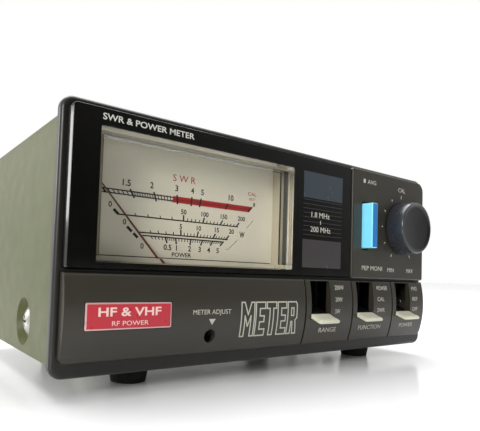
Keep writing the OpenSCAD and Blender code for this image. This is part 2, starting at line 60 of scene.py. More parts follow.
def middle(node):
    """Centre of a CAD node in panel coordinates."""
    low, high = span(node)
    return [(a + b) / 2 for a, b in zip(low, high)]


# ---- sizes, in panel coordinates ----------------------------------------------------------------

# Front moulding: rim with its control pad
FRONT_LOW, FRONT_HIGH = span("front_panel")
RIM_RADIUS, RIM_ROUNDING, RIM_THICKNESS = 3.2, 1.2, 2.8
PAD_X, PAD_Z, PAD_Y = (27.0, 71.1), (24.9, 63.2), -2.7
# Curved switch fascia, an arc about a line along X
FASCIA_X, FASCIA_Z = (-72.4, 71.1), (3.6, 24.3)
FASCIA_RADIUS, FASCIA_CREST, FASCIA_SOFT = 35.0, 15.5, 0.9
FASCIA_REACH = -FRONT_LOW[1]
GROOVE_X, GROOVE_PITCH, GROOVE_WIDTH, GROOVE_DEPTH = 4.3, 23.0, 0.7, 0.5
# Openings and hollows; the cuts that go right through end at the same depth
CUT_BACK = 4.0
WINDOW_X, WINDOW_Z = (-65.3, -1.2), (26.8, 58.8)
SLOT_WIDTH, SLOT_Z = 9.2, (11.4, 23.7)
BUTTON_HOLE_WIDTH, BUTTON_HOLE_HEIGHT = 3.9, 17.0
KNOB_HOLE_RADIUS, ADJUSTER_HOLE_RADIUS = 4.15, 1.8
BADGE_SEAT = ((-67.7, -44.7), (-5, -2.85), (11.0, 17.7))
HOLLOWS = (
    ((-69, 2.5), (-0.6, CUT_BACK), (5.4, 22.5)),  # behind the badge
    ((5.6, 69.6), (-1.1, CUT_BACK), (7.4, 23.9)),  # behind the levers
    ((29, 69.6), (-0.7, CUT_BACK), (26.8, 60.3)),  # behind the control pad
)
# Window plate with bevelled outer edges
PLATE_LOW, PLATE_HIGH = span("window_plate")
PLATE_Y = PLATE_LOW[1]
PLATE_EDGE = [(0.53, PLATE_Y), (0.48, PLATE_Y + 0.03), (0.0, PLATE_Y + 2.1), (0, 0)]
# Controls
SWITCH_X = [middle(lever)[0] for lever in ("range_lever", "function_lever", "power_lever")]
BUTTON_X, _, BUTTON_Z = middle("moni_button")
KNOB_X, _, KNOB_Z = middle("cal_knob")
ADJUSTER_X, _, ADJUSTER_Z = middle("zero_adjuster")
PIVOT_Y, PIVOT_Z, LEVER_REST = 12.6, 18.5, math.radians(21.2)
LEVER_WIDTH, CAP_START, CAP_TIP, CAP_HALF = 8.6, 16.3, 21.2, 0.65
# Meter: face of the dial and the axis that the needle turns about
DIAL_Y = span("scale_plate")[0][1]
AXIS_X = middle("meter_core")[0]
AXIS_Z = span("front_bridge")[0][2] + 1.7
# Coaxial sockets, with a thread of 24 turns per inch
FLANGE_WIDTH, SCREW_PITCH, SCREW_HOLE_RADIUS = 25.4, 18.2, 1.6
THREAD_PITCH, THREAD_RADIUS, THREAD_DEPTH = 25.4 / 24, 7.94, 0.62

# ---- camera -------------------------------------------------------------------------------------


def camera():
    """Camera fitted to the corners of the rim, window, pad and slots in the photo."""
    yaw, pitch, roll = (math.radians(a) for a in (35.611, 2.746, 1.925))
    ahead = Vector((math.sin(yaw) * math.cos(pitch), math.cos(yaw) * math.cos(pitch), math.sin(pitch)))
    level_right = Vector((math.cos(yaw), -math.sin(yaw), 0))
    level_up = level_right.cross(ahead)
    right = level_right * math.cos(roll) + level_up * math.sin(roll)
    up = -level_right * math.sin(roll) + level_up * math.cos(roll)
    lens = bpy.data.cameras.new("camera")
    ob = bpy.data.objects.new("camera", lens)
    bpy.context.scene.collection.objects.link(ob)
    pose = Matrix((right, up, -ahead)).transposed().to_4x4()
    pose.translation = at(-108.35, -105.33, 25.15)
    ob.matrix_world = pose
    lens.sensor_width = 36
    lens.lens = 35.665
    lens.shift_x = 0.07306
    lens.shift_y = 0.07154
    lens.clip_start = 0.005
    lens.clip_end = 20
    bpy.context.scene.camera = ob


camera()

# ---- materials ----------------------------------------------------------------------------------


def srgb(r, g, b):
    """Linear colour from 0-255 sRGB values."""
    return tuple((c / 255 / 12.92) if c <= 10 else ((c / 255 + 0.055) / 1.055) ** 2.4 for c in (r, g, b))


class Surface:
    """Node tree of one procedural material, with helpers for the few kinds of node that all of them use."""

    def __init__(self, name):
        self.material = bpy.data.materials.new(name)
        self.material.use_nodes = True
        self.tree = self.material.node_tree
        self.shader = self.tree.nodes["Principled BSDF"]
        self.coords = self.tree.nodes.new("ShaderNodeTexCoord")

    def node(self, kind, **inputs):
        n = self.tree.nodes.new(kind)
        for key, value in inputs.items():
            if key in n.inputs:
                n.inputs[key].default_value = value
            else:
                setattr(n, key, value)
        return n

    def link(self, a, b):
        self.tree.links.new(a, b)

    def noise(self, scale, detail=3.0, rough=0.55, stretch=None):
        n = self.node("ShaderNodeTexNoise", Scale=scale, Detail=detail, Roughness=rough)
        source = self.coords.outputs["Object"]
        if stretch:
            mapping = self.node("ShaderNodeMapping")
            mapping.inputs["Scale"].default_value = stretch
            self.link(source, mapping.inputs["Vector"])
            source = mapping.outputs["Vector"]
        self.link(source, n.inputs["Vector"])
        return n.outputs["Fac"]

    def ramp(self, fac, start, end, low=0.0, high=1.0):
        n = self.node("ShaderNodeMapRange")
        for key, value in (("From Min", start), ("From Max", end), ("To Min", low), ("To Max", high)):
            n.inputs[key].default_value = value
        self.link(fac, n.inputs["Value"])
        return n.outputs["Result"]

    def mix(self, fac, a, b):
        n = self.node("ShaderNodeMix", data_type="RGBA")
        self.link(fac, n.inputs[0])
        for sock, value in ((n.inputs[6], a), (n.inputs[7], b)):
            if isinstance(value, bpy.types.NodeSocket):
                self.link(value, sock)
            else:
                sock.default_value = (*value, 1)
        return n.outputs[2]

    def times(self, a, b):
        n = self.node("ShaderNodeMath", operation="MULTIPLY")
        self.link(a, n.inputs[0])
        if isinstance(b, bpy.types.NodeSocket):
            self.link(b, n.inputs[1])
        else:
            n.inputs[1].default_value = b
        return n.outputs[0]


def surface(name, colour, rough, *, metallic=0.0, spec=0.5, coat=0.0, coat_rough=0.1, var=0.10,
            var_scale=70.0, grain=2600.0, bump=0.12, depth=0.00004, rough_var=0.07, wear=0.0,
            wear_colour=None, stretch=None, blotch=None, extra=None):
    """Opaque material: colour and roughness variation, fine grain, and edge wear where it is asked for."""
    s = Surface(name)
    dark = tuple(c * (1 - var) for c in colour)
    light = tuple(min(1, c * (1 + var)) for c in colour)
    base = s.mix(s.ramp(s.noise(var_scale), 0.3, 0.7), dark, light)
    fine = s.noise(grain, 2.0, 0.6, stretch)
    base = s.mix(s.ramp(fine, 0.35, 0.65, 0.0, min(1.0, var * 3)), base, tuple(c * 0.82 for c in colour))
    if blotch:
        base = s.mix(s.ramp(s.noise(18.0, 5.0), 0.52, 0.75, 0.0, 0.6), base, blotch)
    if wear:
        geometry = s.node("ShaderNodeNewGeometry")
        edge = s.ramp(geometry.outputs["Pointiness"], 0.53, 0.62)
        broken = s.ramp(s.noise(420.0, 4.0), 0.35, 0.65)
        worn = wear_colour or tuple(min(1, c * 2.2 + 0.05) for c in colour)
        base = s.mix(s.times(s.times(edge, broken), wear), base, worn)
    s.link(base, s.shader.inputs["Base Color"])
    low, high = max(0.0, rough - rough_var), min(1.0, rough + rough_var)
    s.link(s.ramp(s.noise(190.0, 4.0), 0.3, 0.7, low, high), s.shader.inputs["Roughness"])
    s.shader.inputs["Metallic"].default_value = metallic
    s.shader.inputs["Specular IOR Level"].default_value = spec
    s.shader.inputs["Coat Weight"].default_value = coat
    s.shader.inputs["Coat Roughness"].default_value = coat_rough
    relief = s.node("ShaderNodeBump", Strength=bump, Distance=depth)
    s.link(fine, relief.inputs["Height"])
    s.link(relief.outputs["Normal"], s.shader.inputs["Normal"])
    if extra:
        extra(s)
    return s.material


def ink_surface(name, colour, rough=0.5):
    return surface(name, colour, rough, var=0.03, var_scale=500.0, grain=5000.0, bump=0.05, rough_var=0.03)


def clear_plastic(name, tint, rough):
    s = Surface(name)
    base = s.mix(s.ramp(s.noise(60.0), 0.3, 0.7), tuple(c * 0.985 for c in tint), tint)
    s.link(base, s.shader.inputs["Base Color"])
    s.link(s.ramp(s.noise(300.0, 4.0), 0.4, 0.8, rough, rough + 0.03), s.shader.inputs["Roughness"])
    s.shader.inputs["Transmission Weight"].default_value = 1.0
    s.shader.inputs["IOR"].default_value = 1.47
    return s.material


def painted_glow(s):
    """Translucent coloured plastic that scatters light inside it, with a painted glow: it gives off light of
    its own.
    """
    s.shader.inputs["Emission Color"].default_value = (0.35, 0.85, 1.0, 1)
    s.shader.inputs["Emission Strength"].default_value = 0.22
    s.shader.inputs["Subsurface Weight"].default_value = 0.55
    s.shader.inputs["Subsurface Radius"].default_value = (0.002, 0.004, 0.006)
    s.shader.inputs["Subsurface Scale"].default_value = 0.5


def table_surface():
    s = Surface("table_white")
    base = s.mix(s.ramp(s.noise(3.0), 0.3, 0.7), (0.92, 0.93, 0.95), (0.95, 0.95, 0.96))
    s.link(base, s.shader.inputs["Base Color"])
    s.link(s.ramp(s.noise(40.0), 0.3, 0.7, 0.13, 0.18), s.shader.inputs["Roughness"])
    s.shader.inputs["Specular IOR Level"].default_value = 0.7
    return s.material


LOOKS = {
    # Case
    "front": surface("front_plastic", srgb(50, 47, 39), 0.36, spec=0.42, var=0.03, grain=3200, bump=0.10,
                     depth=0.00003, rough_var=0.03, wear=0.12, wear_colour=srgb(84, 82, 72)),
    # Darker copy of the front plastic for the rim and the faces set back behind it: painted shade.
    "rim": surface("rim_plastic_painted_shade", srgb(22, 21, 17), 0.34, spec=0.4, var=0.03, grain=3200, bump=0.10,
                   depth=0.00003, rough_var=0.03, wear=0.12, wear_colour=srgb(70, 70, 64)),
    "plate": surface("plate_gloss", srgb(12, 12, 10), 0.11, var=0.08, grain=1500, bump=0.02, depth=0.00001,
                     rough_var=0.03),
    "cover": surface("cover_paint", srgb(74, 78, 38), 0.46, spec=0.32, var=0.025, var_scale=30, grain=2100,
                     bump=0.14, depth=0.00003, rough_var=0.04),
    "chassis": surface("chassis_zinc", srgb(190, 190, 182), 0.34, metallic=1.0, var=0.05, grain=1400,
                       bump=0.10, rough_var=0.12, stretch=(0.06, 1, 1)),
    "screw": surface("screw_nickel", srgb(165, 165, 158), 0.36, metallic=1.0, var=0.08, grain=1800, bump=0.12,
                     rough_var=0.1, wear=0.4, wear_colour=srgb(240, 240, 235)),
    "rubber": surface("foot_rubber", srgb(24, 24, 23), 0.72, var=0.15, grain=1900, bump=0.35, depth=0.00008,
                      rough_var=0.08, spec=0.3),
    # Meter
    "beige": surface("meter_beige", srgb(172, 163, 142), 0.42, var=0.05, grain=2800, bump=0.12,
                     rough_var=0.06),
    "scale": surface("scale_paper", srgb(224, 217, 198), 0.55, var=0.035, var_scale=45, grain=3600, bump=0.10,
                     rough_var=0.05, blotch=srgb(212, 202, 174)),
    "pointer": surface("pointer_red", srgb(112, 60, 42), 0.4, var=0.08, grain=3000, bump=0.06),
    "coil": surface("coil_copper", srgb(186, 110, 60), 0.32, metallic=1.0, var=0.10, grain=900, bump=0.5,
                    depth=0.0001, stretch=(0.1, 1, 4)),
    "iron": surface("magnet_iron", srgb(92, 94, 98), 0.5, metallic=0.8, var=0.12, grain=1200, bump=0.3),
    "brass": surface("brass", srgb(206, 170, 92), 0.28, metallic=1.0, var=0.10, grain=1600, bump=0.12,
                     wear=0.3),
    "steel": surface("turned_steel", srgb(170, 172, 166), 0.3, metallic=1.0, var=0.08, grain=1500, bump=0.15),
    "clear": clear_plastic("window_clear", (0.97, 0.985, 0.975), 0.0),
    "lamp": clear_plastic("lamp_glass", (0.98, 0.93, 0.80), 0.05),
    # Controls
    "knob": surface("knob_satin", srgb(46, 48, 54), 0.25, var=0.12, grain=2600, bump=0.10, rough_var=0.05,
                    coat=0.1, coat_rough=0.2),
    "knob_face": surface("knob_face", srgb(17, 17, 17), 0.33, var=0.10, grain=2600, bump=0.08,
                         rough_var=0.04),
    "shaft": surface("shaft_aluminium", srgb(200, 200, 196), 0.3, metallic=1.0, var=0.06, grain=1500,
                     bump=0.15),
    "black": surface("switch_black", srgb(14, 14, 14), 0.5, spec=0.2, var=0.12, grain=2200, bump=0.15),
    "ivory": surface("lever_ivory", srgb(214, 214, 192), 0.36, var=0.06, grain=2600, bump=0.10, wear=0.25,
                     wear_colour=srgb(240, 240, 225), blotch=srgb(196, 194, 168)),
    # The cap's side material gives off light of its own: painted glow.
    "button": surface("button_blue", srgb(120, 214, 246), 0.18, var=0.06, var_scale=160, grain=2400,
                      bump=0.04, rough_var=0.04, coat=0.3, wear=0.3, wear_colour=srgb(190, 240, 255),
                      extra=painted_glow),
    # Deeper blue copy of the cap's blue for its front face: painted shade.
    "button_face": surface("button_face_painted_shade", srgb(40, 120, 190), 0.2, var=0.06, var_scale=160, grain=2400,
                           bump=0.04, rough_var=0.04, coat=0.3),
    # Electronics and sockets
    "board": surface("board_green", srgb(34, 84, 46), 0.35, var=0.10, grain=900, bump=0.10),
    "parts": surface("parts_blue", srgb(50, 78, 140), 0.35, var=0.12, grain=1500, bump=0.1),
    "copper": surface("line_copper", srgb(196, 132, 80), 0.3, metallic=1.0, var=0.12, grain=1300, bump=0.15),
    "nickel": surface("socket_nickel", srgb(205, 206, 202), 0.22, metallic=1.0, var=0.06, grain=1500,
                      bump=0.10, rough_var=0.08, wear=0.4, wear_colour=srgb(245, 245, 240)),
    "resin": surface("socket_resin", srgb(228, 222, 206), 0.5, var=0.06, grain=2000, bump=0.15),
    "gold": surface("contact_gold", srgb(222, 182, 96), 0.22, metallic=1.0, var=0.08, grain=1500, bump=0.1),
    # Printing and the badge
    "white_ink": ink_surface("lettering_white", srgb(186, 186, 172)),
    "title_ink": ink_surface("title_white", srgb(192, 192, 184)),
    "pale_ink": ink_surface("badge_pale", srgb(236, 206, 200)),
    "black_ink": ink_surface("scale_black", srgb(30, 25, 20)),
    "red_ink": ink_surface("scale_red", srgb(170, 28, 26)),
    "tint_blue": ink_surface("plate_blue_grey", srgb(56, 64, 70), 0.25),
    "tint_grey": ink_surface("plate_warm_grey", srgb(62, 58, 59), 0.25),
    "badge": surface("badge_red", srgb(186, 26, 46), 0.3, var=0.05, grain=2600, bump=0.06, coat=0.4),
    "badge_rim": surface("badge_silver", srgb(206, 170, 170), 0.3, metallic=0.3, var=0.06, grain=2600,
                         bump=0.06),
}

# CAD nodes that keep their own shape, by the surface that they get
CAD_LOOKS = {
    "cover": ["top_cover"],
    "chassis": ["chassis", "rear_panel", "coupler_box"],
    "screw": ["front_screws", "cover_screws", "foot_screws", "board_screws", "socket_screws", "socket_nuts",
              "pot_nut", "dc_jack_nut", "lever_pins"],
    "rubber": ["foot_front_left", "foot_front_right", "foot_rear_left", "foot_rear_right"],
    "clear": ["meter_cover"],
    "lamp": ["meter_lamps"],
    "beige": ["meter_case"],
    "scale": ["scale_plate"],
    "coil": ["moving_coil"],
    "iron": ["meter_core", "meter_magnet", "coupler_core"],
    "brass": ["front_bridge", "rear_bridge", "hairsprings", "meter_terminals", "board_spacers"],
    "steel": ["zero_adjuster"],
    "shaft": ["pot_shaft", "cal_pot"],
    "black": ["button_switch", "range_switch", "function_switch", "power_switch", "board_link", "dc_jack"],
    "board": ["switch_board", "main_board"],
    "parts": ["board_parts"],
    "copper": ["coupler_line"],
    "resin": ["tx_insulator", "ant_insulator"],
    "gold": ["tx_contact", "ant_contact"],
}

# ---- geometry helpers ---------------------------------------------------------------------------


def mesh_object(name, bm):
    """Object with the mesh, its faces turned outwards."""
    bmesh.ops.recalc_face_normals(bm, faces=bm.faces)
    me = bpy.data.meshes.new(name)
    bm.to_mesh(me)
    bm.free()
    ob = bpy.data.objects.new(name, me)
    bpy.context.scene.collection.objects.link(ob)
    return ob


def shade(ob, sharp):
    """Smooth shading with edges kept sharp above an angle in degrees."""
    for polygon in ob.data.polygons:
        polygon.use_smooth = True
    ob.data.set_sharp_from_angle(angle=math.radians(sharp))


def make(name, bm, look, body="housing", replaces=(), sharp=35.0):
    """Visible piece that rides on a body and can take the place of CAD nodes."""
    ob = mesh_object(name, bm)
    ob.data.materials.append(LOOKS[look])
    shade(ob, sharp)
    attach(ob, body)
    if replaces:
        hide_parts(*replaces)
    return ob


def apply_modifiers(ob):
    graph = bpy.context.evaluated_depsgraph_get()
    new = bpy.data.meshes.new_from_object(ob.evaluated_get(graph))
    ob.modifiers.clear()
    old = ob.data
    ob.data = new
    bpy.data.meshes.remove(old)


def boolean(ob, bm, operation="DIFFERENCE"):
    tool = mesh_object("tool", bm)
    modifier = ob.modifiers.new("boolean", "BOOLEAN")
    modifier.operation = operation
    modifier.object = tool
    modifier.solver = "EXACT"
    apply_modifiers(ob)
    me = tool.data
    bpy.data.objects.remove(tool)
    bpy.data.meshes.remove(me)


def merge(ob, part):
    """The second object becomes part of the first one."""
    bm = bmesh.new()
    bm.from_mesh(part.data)
    boolean(ob, bm, "UNION")
    bpy.data.objects.remove(part)


def bevel(ob, width, angle, segments):
    """Edges above the angle are rounded, and flat faces are shaded flat."""
    modifier = ob.modifiers.new("bevel", "BEVEL")
    modifier.width = width * 0.001
    modifier.segments = segments
    modifier.limit_method = "ANGLE"
    modifier.angle_limit = math.radians(angle)
    apply_modifiers(ob)
    shade(ob, 32)
    normals = ob.modifiers.new("normals", "WEIGHTED_NORMAL")
    normals.keep_sharp = True
    normals.weight = 60
    apply_modifiers(ob)


def second_look(ob, look, chosen):
    """Faces for which chosen(face) holds get another surface."""
    ob.data.materials.append(LOOKS[look])
    for face in ob.data.polygons:
        if chosen(face):
            face.material_index = 1


def spaced(a, b, n):
    """The ends of a stretch and the points that part it into n equal steps."""
    return [a + (b - a) * k / n for k in range(n + 1)]


def about(centre, width):
    """The two ends of a stretch about its centre."""
    return centre - width / 2, centre + width / 2


def circle(centre, r, y, n):
    """Points of a circle in a plane across Y."""
    turns = [2 * math.pi * k / n for k in range(n)]
    return [at(centre[0] + r * math.cos(a), y, centre[1] + r * math.sin(a)) for a in turns]


def rounded_rect(x, z, r, n):
    """Rounded rectangle as points; r is one radius or four: low left, low right, top right, top left."""
    radii = r if isinstance(r, (list, tuple)) else [r] * 4
    corners = ((x[0], z[0], 180), (x[1], z[0], 270), (x[1], z[1], 0), (x[0], z[1], 90))
    out = []
    for (cx, cz, start), q in zip(corners, radii):
        q = max(q, 0.02)
        ox = cx + (q if cx == x[0] else -q)
        oz = cz + (q if cz == z[0] else -q)
        for k in range(n + 1):
            a = math.radians(start + 90 * k / n)
            out.append((ox + q * math.cos(a), oz + q * math.sin(a)))
    return out


def stack(loops, bm=None):
    """Closed solid of loops of points joined in order, with a face on each end."""
    if bm is None:
        bm = bmesh.new()
    rows = [[bm.verts.new(p) for p in loop] for loop in loops]
    n = len(rows[0])
    for a, b in zip(rows, rows[1:]):
        for i in range(n):
            j = (i + 1) % n
            bm.faces.new((a[i], a[j], b[j], b[i]))
    bm.faces.new(rows[0])
    bm.faces.new(list(reversed(rows[-1])))
    return bm


def rounding(r, y, n, sign=1):
    """Rounded edge as pairs of inset and y, from the face at y to the side."""
    turns = [math.pi / 2 * k / n for k in range(n + 1)]
    return [(r * (1 - math.sin(a)), y + sign * r * (1 - math.cos(a))) for a in turns]


def back_rounding(r, y, n):
    return list(reversed(rounding(r, y, n, -1)))


def slab(x, z, r, profile, n):
    """Slab with a rounded outline that is inset step by step along Y."""
    radii = r if isinstance(r, (list, tuple)) else [r] * 4
    loops = []
    for inset, y in profile:
        inner = [max(q - inset, 0.03) for q in radii]
        pts = rounded_rect((x[0] + inset, x[1] - inset), (z[0] + inset, z[1] - inset), inner, n)
        loops.append([at(px, y, pz) for px, pz in pts])
    return stack(loops)


def box(x, y, z):
    return stack([[at(x[0], q, z[0]), at(x[1], q, z[0]), at(x[1], q, z[1]), at(x[0], q, z[1])] for q in y])


def turned(profile, centre, n, bm=None):
    """Profile of (radius, y) turned about a line along Y."""
    return stack([circle(centre, r, y, n) for r, y in profile], bm)


def hole(r, y, centre, n):
    """Cutter for a round hole along Y."""
    return turned([(r, q) for q in y], centre, n)


def rod(r, x, n):
    """Rod along X on the levers' pivot."""
    turns = [2 * math.pi * k / n for k in range(n)]
    return stack([[at(q, PIVOT_Y + r * math.cos(a), PIVOT_Z + r * math.sin(a)) for a in turns] for q in x])


# ---- front panel --------------------------------------------------------------------------------


def fascia_y(z):
    z = min(max(z, FASCIA_Z[0]), FASCIA_Z[1])
    return FASCIA_RADIUS - FASCIA_REACH - math.sqrt(FASCIA_RADIUS ** 2 - (z - FASCIA_CREST) ** 2)


def fascia_edge(z, inward):
    """Rounding from an edge of the fascia into its face as (y, z) points; inward is 1 for up, -1 for down."""
    start = fascia_y(z + inward * FASCIA_SOFT)
    turns = [math.radians(90 * k / 4) for k in range(5)]
    return [(start + FASCIA_SOFT * (1 - math.sin(a)), z + inward * FASCIA_SOFT * (1 - math.cos(a)))
            for a in turns]


def fascia_profile():
    """Curved face as (y, z) points from bottom to top, with both edges softened."""
    low, high = FASCIA_Z
    back, steps = 1.0, 26
    face = [(fascia_y(z), z) for z in spaced(low + FASCIA_SOFT, high - FASCIA_SOFT, steps)[1:-1]]
    return [(back, low)] + fascia_edge(low, 1) + face + fascia_edge(high, -1)[::-1] + [(back, high)]


def fascia():
    """Fascia cut to rounded lower corners."""
    ob = make("fascia", stack([[at(x, y, z) for y, z in fascia_profile()] for x in FASCIA_X]), "front")
    outline = (FASCIA_Z[0], FASCIA_Z[1] + 20)
    boolean(ob, slab(FASCIA_X, outline, (2, 2, 1, 1), [(0, -6), (0, 1.5)], 10), "INTERSECT")
    bevel(ob, 0.45, 50, 3)
    return ob


def groove(x):
    """Cutter that follows the fascia's curve and runs out past both of its edges."""
    low, high, front = FASCIA_Z[0] - 2, FASCIA_Z[1] + 0.3, -6.0
    pts = [(front, low), (front, high)] + [(fascia_y(z) + GROOVE_DEPTH, z) for z in spaced(high, low, 16)]
    return stack([[at(side, y, z) for y, z in pts] for side in about(x, GROOVE_WIDTH)])


def skirt():
    """Frame behind the rim that locates the chassis and the cover."""
    ob = make("skirt", slab((-71.5, 71.5), (4, 61.8), 2.5, [(0, 2.5), (0, 8.5), (0.3, 8.8)], 6), "front")
    boolean(ob, slab((-70, 70), (5.2, 60.3), 1.5, [(0, 1.0), (0, 9.5)], 6))
    return ob


def front_panel():
    rim_profile = rounding(RIM_ROUNDING, 0, 6) + back_rounding(0.3, RIM_THICKNESS, 3)
    rim = slab((FRONT_LOW[0], FRONT_HIGH[0]), (0, FRONT_HIGH[2]), RIM_RADIUS, rim_profile, 12)
    panel = make("front_moulding", rim, "front", replaces=["front_panel"])
    # The pad's outer top corner follows the rim
    pad = slab(PAD_X, PAD_Z, (0.8, 0.8, 3.6, 0.8), rounding(0.55, PAD_Y, 4) + [(0, 1.0)], 8)
    boolean(panel, pad, "UNION")
    merge(panel, fascia())
    for i in range(3):
        boolean(panel, groove(GROOVE_X + GROOVE_PITCH * i))
    boolean(panel, box(WINDOW_X, (-1, CUT_BACK), WINDOW_Z))
    for hollow in HOLLOWS:
        boolean(panel, box(*hollow))
    button_hole = (about(BUTTON_X, BUTTON_HOLE_WIDTH), (-4, CUT_BACK), about(BUTTON_Z, BUTTON_HOLE_HEIGHT))
    boolean(panel, box(*button_hole))
    for x in SWITCH_X:
        boolean(panel, box(about(x, SLOT_WIDTH), (-5, CUT_BACK), SLOT_Z))
    boolean(panel, hole(KNOB_HOLE_RADIUS, (-4, CUT_BACK), (KNOB_X, KNOB_Z), 48))
    boolean(panel, hole(ADJUSTER_HOLE_RADIUS, (-5, CUT_BACK), (ADJUSTER_X, ADJUSTER_Z), 40))
    boolean(panel, box(*BADGE_SEAT))
    merge(panel, skirt())
    bevel(panel, 0.18, 42, 2)
    # Faces less than 0.2 mm in front of the rim's face or further back (the rim, the skirt, and the walls of
    # the openings, slots and hollows) get the darker copy of the front plastic: painted shade.
    rim_front = at(0, -0.2, 0).y
    second_look(panel, "rim", lambda face: face.center.y > rim_front)


def window_plate():
    x, z = (PLATE_LOW[0], PLATE_HIGH[0]), (PLATE_LOW[2], PLATE_HIGH[2])
    shape = slab(x, z, (0.8, 0.8, 0.8, 1.5), PLATE_EDGE, 8)
    plate = make("window_bezel", shape, "plate", replaces=["window_plate"])
    boolean(plate, slab(WINDOW_X, WINDOW_Z, 0.4, [(0, PLATE_Y - 1), (0, 1)], 4))
    bevel(plate, 0.2, 42, 3)


front_panel()
window_plate()

# ---- printed graphics ---------------------------------------------------------------------------


def flat(y):
    """Face of constant depth, as a function of height."""
    return lambda z: y


class Ink:
    """Printing as a very thin raised layer that follows a face y = face_y(z)."""

    SUNK = 0.012
    CAPITAL = 0.70

    def __init__(self, name, look, face_y, raised=0.03):
        self.name, self.look, self.face_y, self.raised = name, look, face_y, raised
        self.curved = face_y(0) != face_y(15)
        self.bm = bmesh.new()

    def poly(self, pts):
        """Closed polygon of (x, z) points as a thin prism."""
        layers = (-self.raised, self.SUNK)
        stack([[at(x, self.face_y(z) + offset, z) for x, z in pts] for offset in layers], self.bm)

    def bar(self, x0, z0, x1, z1, width, step=1.5):
        """Straight line, in short pieces on a curved face."""
        n = max(1, int(math.hypot(x1 - x0, z1 - z0) / step)) if self.curved else 1
        u, v = Vector((x1 - x0, z1 - z0)).normalized() * width / 2
        stops = list(zip(spaced(x0, x1, n), spaced(z0, z1, n)))
        for (ax, az), (bx, bz) in zip(stops, stops[1:]):
            self.poly([(ax - v, az + u), (ax + v, az - u), (bx + v, bz - u), (bx - v, bz + u)])

    def outline(self, pts, width):
        for (ax, az), (bx, bz) in zip(pts, pts[1:] + pts[:1]):
            d = Vector((bx - ax, bz - az)).normalized() * width / 2
            self.bar(ax - d.x, az - d.y, bx + d.x, bz + d.y, width, 0.8)

    def text(self, words, x, z, height, width=None, bold=0.0):
        """Text centred on (x, z) with capitals of a height; width stretches it to fit."""
        curve = bpy.data.curves.new("words", "FONT")
        curve.body = words
        curve.extrude = 0.1
        curve.offset = bold
        curve.resolution_u = 3
        ob = bpy.data.objects.new("words", curve)
        bpy.context.scene.collection.objects.link(ob)
        graph = bpy.context.evaluated_depsgraph_get()
        me = bpy.data.meshes.new_from_object(ob.evaluated_get(graph))
        bpy.data.objects.remove(ob)
        xs = [v.co.x for v in me.vertices]
        scale_z = height / self.CAPITAL
        scale_x = width / (max(xs) - min(xs)) if width else scale_z
        mid_x, mid_z = (max(xs) + min(xs)) / 2, self.CAPITAL / 2
        for v in me.vertices:
            px, pz = x + (v.co.x - mid_x) * scale_x, z + (v.co.y - mid_z) * scale_z
            offset = -self.raised if v.co.z > 0 else self.SUNK
            v.co = at(px, self.face_y(pz) + offset, pz)
        self.bm.from_mesh(me)
        bpy.data.meshes.remove(me)

    def done(self):
        bmesh.ops.remove_doubles(self.bm, verts=self.bm.verts, dist=1e-6)
        make(self.name, self.bm, self.look, sharp=30)


def rectangle(x, z):
    return [(x[0], z[0]), (x[1], z[0]), (x[1], z[1]), (x[0], z[1])]


def plate_print():
    """Title, two tinted fields and the frequency range on the window plate."""
    ink = Ink("plate_title", "title_ink", flat(PLATE_Y))
    ink.text("SWR & POWER METER", -52.0, 60.9, 1.5, 25.8, 0.015)
    ink.done()
    ink = Ink("plate_field_upper", "tint_blue", flat(PLATE_Y), 0.02)
    ink.poly(rectangle((3.1, 21.9), (50.1, 58.5)))
    ink.done()
    ink = Ink("plate_field_lower", "tint_grey", flat(PLATE_Y), 0.02)
    ink.poly(rectangle((3.0, 21.6), (27.9, 36.8)))
    first_line, line_pitch = 38.3, 1.4
    for k in range(9):
        z = first_line + k * line_pitch
        ink.bar(3.1, z, 21.7, z, 0.16)
    ink.done()
    ink = Ink("plate_range_text", "white_ink", flat(PLATE_Y), 0.035)
    ink.text("1.8 MHz", 11.2, 44.9, 1.7, 8.7)
    ink.bar(11.2, 41.9, 11.2, 43.1, 0.25)
    ink.text("200 MHz", 11.3, 40.2, 1.7, 9.6)
    ink.done()


def pad_print():
    """Lettering of the control pad and the ring of marks about the knob."""
    ink = Ink("pad_lettering", "white_ink", flat(PAD_Y))
    ink.poly(rectangle((32.7, 33.9), (58.6, 60.0)))
    ink.text("AVG", 37.5, 59.3, 1.5, 4.9)
    ink.text("PEP MONI", 38.4, 28.7, 1.55, 11.8)
    ink.text("CAL", KNOB_X + 0.3, 58.7, 1.6, 4.6)
    ink.text("MIN", 49.6, 28.4, 1.5, 4.0)
    ink.text("MAX", 62.0, 28.4, 1.5, 4.2)
    inner, short, long = 11.3, 12.1, 12.5
    for k in range(11):
        a = math.radians(-150 + 30 * k)
        outer = long if k % 5 == 0 else short
        ink.bar(KNOB_X + inner * math.sin(a), KNOB_Z + inner * math.cos(a),
                KNOB_X + outer * math.sin(a), KNOB_Z + outer * math.cos(a), 0.42)
    ink.done()


def fascia_print():
    """Three positions beside each lever, what it does below it, and the mark above the adjuster."""
    heights, name_z = (21.7, 17.8, 13.9), 8.0
    # Left edge and widths of the positions, then the name with its centre and width
    switches = (
        (18.3, ("200W", 4.6), ("20W", 3.6), ("5W", 2.4), ("RANGE", 15.4, 8.4)),
        (41.3, ("POWER", 6.4), ("CAL", 4.1), ("SWR", 4.3), ("FUNCTION", 37.8, 12.6)),
        (63.6, ("FWD", 3.6), ("REF", 3.4), ("OFF", 3.5), ("POWER", 60.4, 8.8)),
    )
    ink = Ink("fascia_lettering", "white_ink", fascia_y)
    for left, *positions, (name, name_x, name_width) in switches:
        for (words, width), z in zip(positions, heights):
            ink.text(words, left + width / 2, z, 1.45, width)
        ink.text(name, name_x, name_z, 1.5, name_width)
    ink.text("METER ADJUST", -31.9, 14.8, 1.25, 12.6)
    ink.poly([(-33.0, 12.9), (-31.9, 11.3), (-30.8, 12.9)])
    ink.done()


